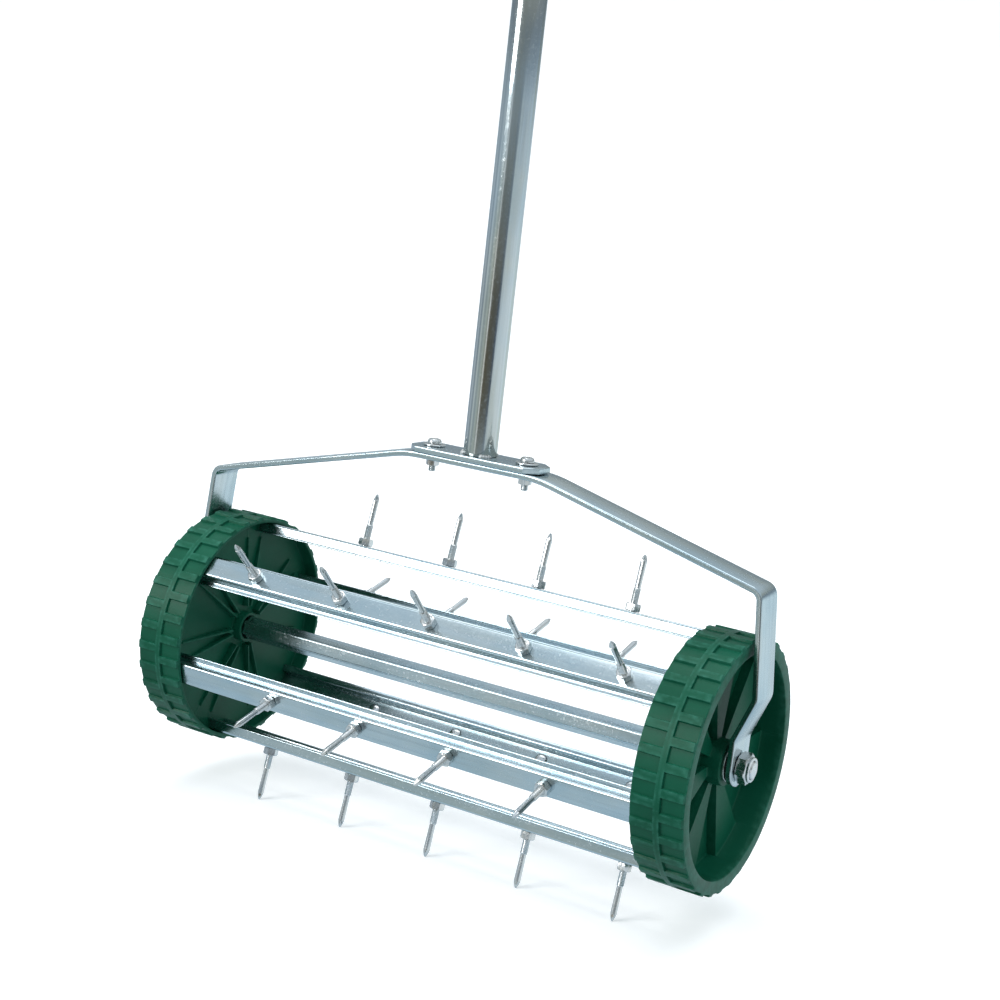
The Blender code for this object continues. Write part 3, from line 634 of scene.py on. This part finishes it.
def makeYoke():
    # A strip of round-edged section follows a bent path in the plane of the axle and the handle.
    # Half the strip's width falls to nothing over the last stretch, which rounds the two ends.
    y = yoke
    right = [(0.063, y["top"]), (y["passX"] - 0.008, y["top"] - 0.050), (y["passX"], 0.058),
             (y["armX"], 0.023), (y["armX"], -0.018 + 0.002)]
    bends = [0, *y["bends"][:0:-1], y["bends"][0], *y["bends"], 0]
    path = rounded([(-x, z) for x, z in right[::-1]] + right, bends, 9, closed=False)
    reach = np.concatenate([[0], np.cumsum(np.linalg.norm(np.diff(path, axis=0), axis=1))])
    half = y["wide"] / 2
    ends = half * (1 - np.cos(np.linspace(0, math.pi / 2, 14)))
    between = reach[(reach > half) & (reach < reach[-1] - half)]
    stations = np.sort(np.concatenate([ends, reach[-1] - ends, between,
                                       np.linspace(0.02, reach[-1] - 0.02, 60)]))
    centre = np.stack([np.interp(stations, reach, path[:, i]) for i in (0, 1)], 1)
    ahead = np.gradient(centre, stations + np.arange(len(stations)) * 1e-9, axis=0)
    ahead /= np.linalg.norm(ahead, axis=1)[:, None]
    fromEnd = np.minimum(np.minimum(stations, reach[-1] - stations), half)
    wide = np.sqrt(np.maximum(half ** 2 - (half - fromEnd) ** 2, 0))[:, None]
    corner = np.array([(-1, -1), (1, -1), (1, 1), (-1, 1)], float)
    turn = np.linspace(0, math.pi / 2, 5)[None, :] + np.array([1.0, 1.5, 0, 0.5])[:, None] * math.pi
    signX, signZ = np.repeat(corner[:, 0], 5)[None], np.repeat(corner[:, 1], 5)[None]
    offX, offZ = y["edge"] * np.cos(turn).ravel()[None], y["edge"] * np.sin(turn).ravel()[None]
    across = signX * np.maximum(wide - y["edge"], 0) + offX * np.minimum(1, wide / y["edge"])
    up = signZ * (y["thick"] / 2 - y["edge"]) + offZ + 0 * wide
    normal = np.stack([-ahead[:, 1], ahead[:, 0]], 1)
    x = centre[:, :1] + normal[:, :1] * up
    z = centre[:, 1:] + normal[:, 1:] * up
    grid = np.stack([x, across, z + axleZ], -1)
    flow = np.stack(np.broadcast_arrays(stations[:, None], across, up), -1)
    return gridPiece("yoke_bent", grid, zinc, "frame", ["yoke"],
                     wrapA=False, wrapB=True, caps=True, flow=flow, sharp=50)


plate = {"long": 0.124, "wide": 0.038, "thick": 0.005, "clip": 0.010, "edge": 0.0009}


def makePlate():
    # Rings of one outline, an oblong with clipped corners, drawn in by each row's inset.
    p, base = plate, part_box("mount_plate")[0].z
    turn = np.linspace(0, math.pi / 2, 5)
    rising, falling = p["edge"] * (1 - np.cos(turn)), p["edge"] * (1 - np.sin(turn))
    inset = np.concatenate([[0.012, 0.004], falling, rising, [0.004, 0.012]])
    height = np.concatenate([[0, 0], rising, p["thick"] - falling, [p["thick"]] * 2])
    x, y = p["long"] / 2 - inset, p["wide"] / 2 - inset
    clip = p["clip"] - inset * (2 - math.sqrt(2))
    xs = np.stack([x, x, x - clip, clip - x, -x, -x, clip - x, x - clip], 0)
    ys = np.stack([clip - y, y - clip, y, y, y - clip, clip - y, -y, -y], 0)
    outline = np.stack([xs, ys, np.broadcast_to(height + base, xs.shape)], -1).swapaxes(0, 1)
    return gridPiece("mount_plate_cut", outline, zinc, "frame", ["mount_plate"],
                     wrapA=False, wrapB=True, caps=True, sharp=34)


makeYoke()
makePlate()
bolts = {"x": 0.045, "radius": 0.003, "hole": 0.0033, "head": 0.006, "headTall": 0.004, "pitch": 0.001,
         "nutFlat": 0.005, "plateNutTall": 0.006, "jointNutTall": 0.005, "washer": 0.0095}


def crossHead(name, origin, axis, start, end, body, cadNodes, spin):
    # A pan head whose top sinks along a cross, on a threaded shank that runs back to end.
    b = bolts
    ripple = np.arange(end + 0.0012, -0.0005, b["pitch"] / 4)
    shank = np.concatenate([[[0, end], [b["radius"] - 0.0006, end], [b["radius"], end + 0.0009]],
                            np.stack([np.full_like(ripple, b["radius"]), ripple], 1),
                            [[b["radius"], 0], [b["head"] - 0.0003, 0], [b["head"], 0.0004]]])
    lean = np.linspace(0, 1, 7)[1:]
    side = np.stack([b["head"] * (1 - 0.25 * lean ** 2),
                     0.0004 + (b["headTall"] - 0.0008) * lean ** 0.8], 1)
    crown = np.linspace(b["head"] * 0.70, 0, 12)
    top = np.stack([crown, b["headTall"] - 0.0008 * (crown / (b["head"] * 0.70)) ** 2 * 0.5], 1)
    profile = np.concatenate([shank, side, top])
    kind = np.repeat([0, 1, 0, 2], [3, len(ripple), 3 + len(side), len(top)])[None]
    angle = np.linspace(0, math.tau, 48, endpoint=False)[:, None] + 0 * kind
    r, z = profile[None, :, 0] + 0 * angle, profile[None, :, 1] + 0 * angle
    phase = (z / b["pitch"] - angle / math.tau) % 1
    r = np.where(kind == 1, r - 0.0004 * np.abs(2 * phase - 1), r)
    arm = np.minimum(np.abs(r * np.cos(angle)), np.abs(r * np.sin(angle)))
    slot = smoothStep((0.00075 - arm) / 0.0005) * smoothStep((0.0029 - r) / 0.0009)
    z = np.where(kind == 2, z - 0.0016 * slot, z)
    grid = about(origin, axis, start, r, z, angle + math.radians(spin))
    flow = np.stack([z, angle * b["head"], r], -1)
    return gridPiece(name, grid, brightZinc, body, cadNodes, flow=flow, sharp=36)


def makePlateBolt(side, sign):
    # washer, bolt and nut at one end of the plate
    b = bolts
    lo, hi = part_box("plate_washer_" + side)
    spot = np.array([sign * b["x"], 0, 0])
    ring("plate_washer_%s_pressed" % side,
         [(b["washer"], lo.z), (b["washer"], hi.z), (b["hole"], hi.z), (b["hole"], lo.z)],
         [0.0004, 0.0006, 0.0002, 0.0002], 40, spot, zAxis, xAxis, brightZinc, "frame",
         ["plate_washer_" + side])
    head = hi.z + clearance
    crossHead("plate_bolt_%s_cross" % side, spot + head * zAxis, zAxis, xAxis,
              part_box("plate_bolt_" + side)[0].z - head, "frame", ["plate_bolt_" + side], 20 + 35 * sign)
    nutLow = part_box("plate_nut_" + side)[0].z
    hexNut("plate_nut_%s_chamfered" % side, b["nutFlat"], b["plateNutTall"], b["hole"],
           spot + nutLow * zAxis, zAxis, xAxis, brightZinc, "frame", ["plate_nut_" + side], spin=15 * sign)


makePlateBolt("left", -1)
makePlateBolt("right", 1)
print("yoke, plate and bolts made")

handle = {"radius": 0.014, "wall": 0.0012, "crossRadius": 0.011, "crossHalf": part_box("crossbar")[1].x,
          "spigot": 0.0125, "seam": 0.00025, "seamAt": 150}


def tubePiece(name, profile, radii, cadNodes):
    # a closed wall profile carried round the handle, with a fine seam along its length
    loop = rounded(profile, radii, 3)
    angle = np.linspace(0, math.tau, 96, endpoint=False)[:, None]
    r, z = loop[None, :, 0], loop[None, :, 1]
    gap = (np.degrees(angle) - handle["seamAt"] + 180) % 360 - 180
    groove = handle["seam"] * np.exp(-(gap / 2.6) ** 2) * (r > handle["radius"] - 0.0004)
    grid = about(np.zeros(3), zAxis, xAxis, r - groove, z, angle)
    flow = np.stack(np.broadcast_arrays(z, angle * handle["radius"], r), -1)
    return gridPiece(name, grid, zincTube, "frame", cadNodes, wrapB=True, flow=flow)


foot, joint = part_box("handle_lower")[0].z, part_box("handle_lower")[1].z
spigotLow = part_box("handle_upper")[0].z
crossZ = (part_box("crossbar")[0].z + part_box("crossbar")[1].z) / 2
cross = np.array([0, 0, crossZ])
topZ = crossZ - handle["crossRadius"] * 0.55
wide, bore = handle["radius"], handle["radius"] - handle["wall"]
plug = handle["spigot"]
tubePiece("handle_lower_drawn", [(wide, foot), (wide, foot + 0.15), (wide, joint - 0.15), (wide, joint),
                                 (bore, joint), (bore, foot)],
          [0.0003, 0, 0, 0.0005, 0.0003, 0.0003], ["handle_lower"])
tubePiece("handle_upper_drawn", [(wide, topZ), (wide, joint + clearance), (plug, joint + clearance),
                                 (plug, spigotLow), (plug - handle["wall"], spigotLow),
                                 (plug - handle["wall"], topZ)],
          [0.0003, 0.0005, 0.0002, 0.0008, 0.0003, 0.0003], ["handle_upper"])

boltSpot = np.array([0, 0, (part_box("joint_bolt")[0].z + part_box("joint_bolt")[1].z) / 2])
crossHead("joint_bolt_cross", boltSpot - (wide + clearance) * yAxis, -yAxis, xAxis,
          -(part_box("joint_bolt")[1].y + wide + clearance), "frame", ["joint_bolt"], 25)
hexNut("joint_nut_chamfered", bolts["nutFlat"], bolts["jointNutTall"], bolts["hole"],
       boltSpot + (wide + clearance) * yAxis, yAxis, xAxis, brightZinc, "frame", ["joint_nut"], spin=10)
barOut, barIn, barEnd = handle["crossRadius"], handle["crossRadius"] - handle["wall"], handle["crossHalf"]
ring("crossbar_drawn", [(barOut, -barEnd), (barOut, barEnd), (barIn, barEnd), (barIn, -barEnd)],
     0.0003, 64, cross, xAxis, zAxis, zincTube, "frame", ["crossbar"])


# feet: the direction of a bead's middle and its half length, in degrees, its thickness, its seed.
# cross: the stretch of the saddle that a bead covers, and its seed.
welds = {
    "feet": {"left": (205, 26, 0.0017, 3), "right": (318, 22, 0.0016, 8), "back": (80, 40, 0.0016, 5)},
    "cross": {"right": (slice(92, 120), 11), "left": (slice(46, 75), 12)},
    "crossThick": 0.0015, "off": 0.0004, "up": 0.0006, "wobble": 0.22,
}


def weldRun(name, path, thick, seed):
    # A round bead of rippled thickness follows a path; its thickness falls to nothing at both ends.
    count = len(path)
    chance = np.random.default_rng(seed)
    lumps = np.convolve(chance.normal(0, 1, count + 8), np.ones(5) / 5, "same")[4:-4]
    share = np.linspace(0, 1, count)
    radius = thick * (1 + welds["wobble"] * lumps + 0.10 * np.sin(share * count * 0.9))
    radius = radius * np.sqrt(np.clip(1 - (2 * share - 1) ** 8, 0, 1))
    ahead = np.gradient(path, axis=0)
    ahead /= np.linalg.norm(ahead, axis=1)[:, None]
    sideways = np.cross(ahead, [0.3, 0.2, 0.93])
    sideways /= np.linalg.norm(sideways, axis=1)[:, None]
    upward = np.cross(sideways, ahead)
    turn = np.linspace(0, math.tau, 14, endpoint=False)[None, :, None]
    spoke = np.cos(turn) * sideways[:, None] + np.sin(turn) * upward[:, None]
    grid = path[:, None] + radius[:, None, None] * spoke
    return gridPiece(name, grid, weld, "frame", [], wrapA=False, wrapB=True, sharp=60)


beadZ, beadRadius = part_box("mount_plate")[1].z + welds["up"], wide + welds["off"]
for side, (middle, spread, thick, seed) in welds["feet"].items():
    at = np.radians(np.linspace(middle - spread, middle + spread, 40))
    path = np.stack([beadRadius * np.cos(at), beadRadius * np.sin(at), np.full_like(at, beadZ)], 1)
    weldRun("weld_foot_" + side, path, thick, seed)
# The saddle is where the two tubes meet: its depth = sqrt(crossbar radius squared - y squared).
at = np.linspace(0, math.tau, 120)
depth = np.sqrt(np.maximum((barOut + clearance) ** 2 - (wide * np.sin(at)) ** 2, 0.0) + 0.000002)
saddle = np.stack([wide * np.cos(at), wide * np.sin(at), crossZ - depth], 1)
saddle[:, 1] = np.clip(saddle[:, 1], -barOut, barOut)
for side, (picked, seed) in welds["cross"].items():
    weldRun("weld_cross_" + side, saddle[picked], welds["crossThick"], seed)

grips = {"radius": 0.0155, "groove": 0.0012, "ribPitch": 0.0062}


def makeGrip(side, sign):
    # A sleeve whose outside dips between round ribs: depth = groove * (1 - |sine of the way along|
    # to the power 0.6). The end cap plugs the bar and covers the sleeve's end.
    out, wideGrip = sign * xAxis, grips["radius"]
    lo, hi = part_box("grip_" + side)
    inner, outer = min(abs(lo.x), abs(hi.x)), max(abs(lo.x), abs(hi.x))
    z = np.arange(inner + 0.004, outer - 0.004, grips["ribPitch"] / 8)
    wave = np.abs(np.sin((z - inner) / grips["ribPitch"] * math.pi)) ** 0.6
    outside = np.stack([wideGrip - grips["groove"] * (1 - wave), z], 1)
    hole = handle["crossRadius"] + clearance
    roundEnd = np.array([(hole, 0), (wideGrip - 0.0022, 0),
                         (wideGrip - 0.0004, 0.0010), (wideGrip, 0.0024)])
    profile = np.concatenate([(0, inner) + roundEnd, outside, (0, outer) + roundEnd[::-1] * (1, -1)])
    grid, flow = ringPoints(profile, 64, cross, out, zAxis)
    gridPiece("grip_%s_ribbed" % side, grid, gripRubber, "frame", ["grip_" + side],
              wrapB=True, flow=flow, sharp=45)
    lo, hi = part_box("end_cap_" + side)
    capIn, capOut = min(abs(lo.x), abs(hi.x)), max(abs(lo.x), abs(hi.x))
    shoulder, plugRadius, capRadius = barEnd + clearance, barIn - clearance, wideGrip - 0.001
    ring("end_cap_%s_moulded" % side,
         [(0, capIn), (plugRadius, capIn), (plugRadius, shoulder), (capRadius, shoulder),
          (capRadius, capOut - 0.0018), (wideGrip - 0.003, capOut),
          (0.006, capOut), (0.0055, capOut - 0.0006), (0, capOut - 0.0006)],
         [0, 0.0006, 0, 0.0004, 0.0012, 0.0012, 0.0003, 0.0003, 0], 56, cross, out, zAxis,
         darkRubber, "frame", ["end_cap_" + side], closed=False)


makeGrip("right", 1)
makeGrip("left", -1)
print("handle made")

stage = {"radius": 5.2, "wallHigh": 6.0, "curve": 2.2}


def makeFloor():
    # a flat disc whose edge curves up into a wall, all round
    s = stage
    line = rounded([(0, 0), (s["radius"], 0), (s["radius"], s["wallHigh"])], s["curve"], 16, closed=False)
    grid = ringPoints(line, 96, np.zeros(3), zAxis, xAxis)[0]
    faces = gridQuads(*grid.shape[:2], True, False)[:, ::-1]
    mesh = bpy.data.meshes.new("paleFloor")
    mesh.from_pydata(grid.reshape(-1, 3).tolist(), [], faces.tolist())
    mesh.shade_smooth()
    f = Finish("paleFloor")
    f.set(Base_Color=(0.9, 0.9, 0.9, 1), Roughness=0.9, Emission_Color=(1, 1, 1, 1), Emission_Strength=0.35)
    mesh.materials.append(f.material)
    floor = bpy.data.objects.new("paleFloor", mesh)
    bpy.context.scene.collection.objects.link(floor)
    floor.visible_glossy = False
    floor.visible_diffuse = False
    floor.visible_shadow = False


makeFloor()


def areaLight(name, spot, target, size, power, colour=(1, 1, 1), glossy=True):
    light = bpy.data.lights.new(name, "AREA")
    light.shape = "RECTANGLE"
    light.size, light.size_y = size
    light.energy = power
    light.color = colour
    lamp = bpy.data.objects.new(name, light)
    lamp.location = spot
    lamp.rotation_euler = (Vector(target) - Vector(spot)).to_track_quat("-Z", "Y").to_euler()
    lamp.visible_glossy = glossy
    bpy.context.scene.collection.objects.link(lamp)
    return lamp


handleMiddle = (0, 0, 0.45)
areaLight("frontLight", (-1.9, -3.0, 1.7), (0, 0, 0.2), (1.6, 1.6), 78)
areaLight("topLight", (-0.6, 0.4, 3.4), handleMiddle, (2.4, 2.4), 30)
areaLight("rightLight", (2.9, -0.6, 1.3), (0, 0, 0.3), (0.7, 1.5), 10, (0.94, 0.97, 1.0), glossy=False)
areaLight("floorWash", (0, 0, 4.6), (0, 0, 0), (4.5, 4.5), 60, glossy=False)

# The surroundings: pale overhead and underfoot, and between them a belt whose tone changes with
# direction, as the walls and stands of a workshop do.
world = bpy.data.worlds.new("studio")
bpy.context.scene.world = world
world.use_nodes = True
sky = Finish("studio", world.node_tree)
direction = sky.add("ShaderNodeTexCoord", output="Generated")
split = sky.add("ShaderNodeSeparateXYZ", None, {"Vector": direction})
east, north, high = [Wire(sky, split.socket.node.outputs[i]) for i in range(3)]
# around is 0 at the front, 0.25 at the left, 0.5 at the back and 0.75 at the right
around = sky.ramp(east.sum("ARCTAN2", east, north), -math.pi, math.pi)
belt = sky.add("ShaderNodeValToRGB", {"stops": [
    (0.0, (0.13, 0.12, 0.09)), (0.018, (0.14, 0.13, 0.10)), (0.027, (1.0, 1.0, 1.0)),
    (0.036, (1.0, 1.0, 1.0)), (0.046, (0.34, 0.36, 0.32)), (0.085, (0.50, 0.56, 0.54)),
    (0.13, (0.36, 0.43, 0.46)), (0.17, (0.66, 0.74, 0.78)), (0.21, (0.26, 0.32, 0.38)),
    (0.26, (0.56, 0.63, 0.68)), (0.31, (0.30, 0.36, 0.43)), (0.37, (0.54, 0.62, 0.67)),
    (0.43, (0.50, 0.60, 0.66)), (0.50, (0.74, 0.85, 0.91)), (0.585, (0.80, 0.93, 0.99)),
    (0.63, (0.88, 0.96, 1.0)), (0.76, (0.74, 0.82, 0.86)), (0.845, (0.70, 0.78, 0.82)),
    (0.862, (0.08, 0.11, 0.16)), (0.90, (0.12, 0.12, 0.11)), (1.0, (0.13, 0.12, 0.09))]}, {0: around})
above = sky.add("ShaderNodeValToRGB", {"stops": [
    (0.0, (0.50, 0.60, 0.66)), (0.16, (0.20, 0.25, 0.30)), (0.30, (0.42, 0.44, 0.40)),
    (0.48, (0.56, 0.63, 0.68)), (0.72, (0.66, 0.74, 0.80)), (0.90, (0.62, 0.72, 0.80)),
    (1.0, (0.84, 0.92, 0.98))]}, {0: high})
below = sky.ramp(high, -0.33, -0.50)
lower = sky.mix(below, belt, (0.56, 0.68, 0.76, 1))
shade = sky.mix(sky.ramp(high, -0.06, 0.10), lower, above)
background = world.node_tree.nodes["Background"]
sky.feed(background.inputs["Color"], shade)
background.inputs["Strength"].default_value = 1.0

view = {"fromAxle": (0.71683, -1.22026, 0.42537), "turn": (81.0579, -6.3039, 30.7733),
        "lens": 62.53, "shift": (0, -0.05)}
lens = bpy.data.cameras.new("camera")
lens.sensor_width = 36
lens.lens = view["lens"]
lens.shift_x, lens.shift_y = view["shift"]
lens.clip_end = 50
camera = bpy.data.objects.new("camera", lens)
camera.location = Vector(view["fromAxle"]) + Vector(axle)
camera.rotation_euler = Euler([math.radians(v) for v in view["turn"]])
bpy.context.scene.collection.objects.link(camera)
bpy.context.scene.camera = camera
bpy.context.scene.view_settings.view_transform = "Standard"
print("stage made")
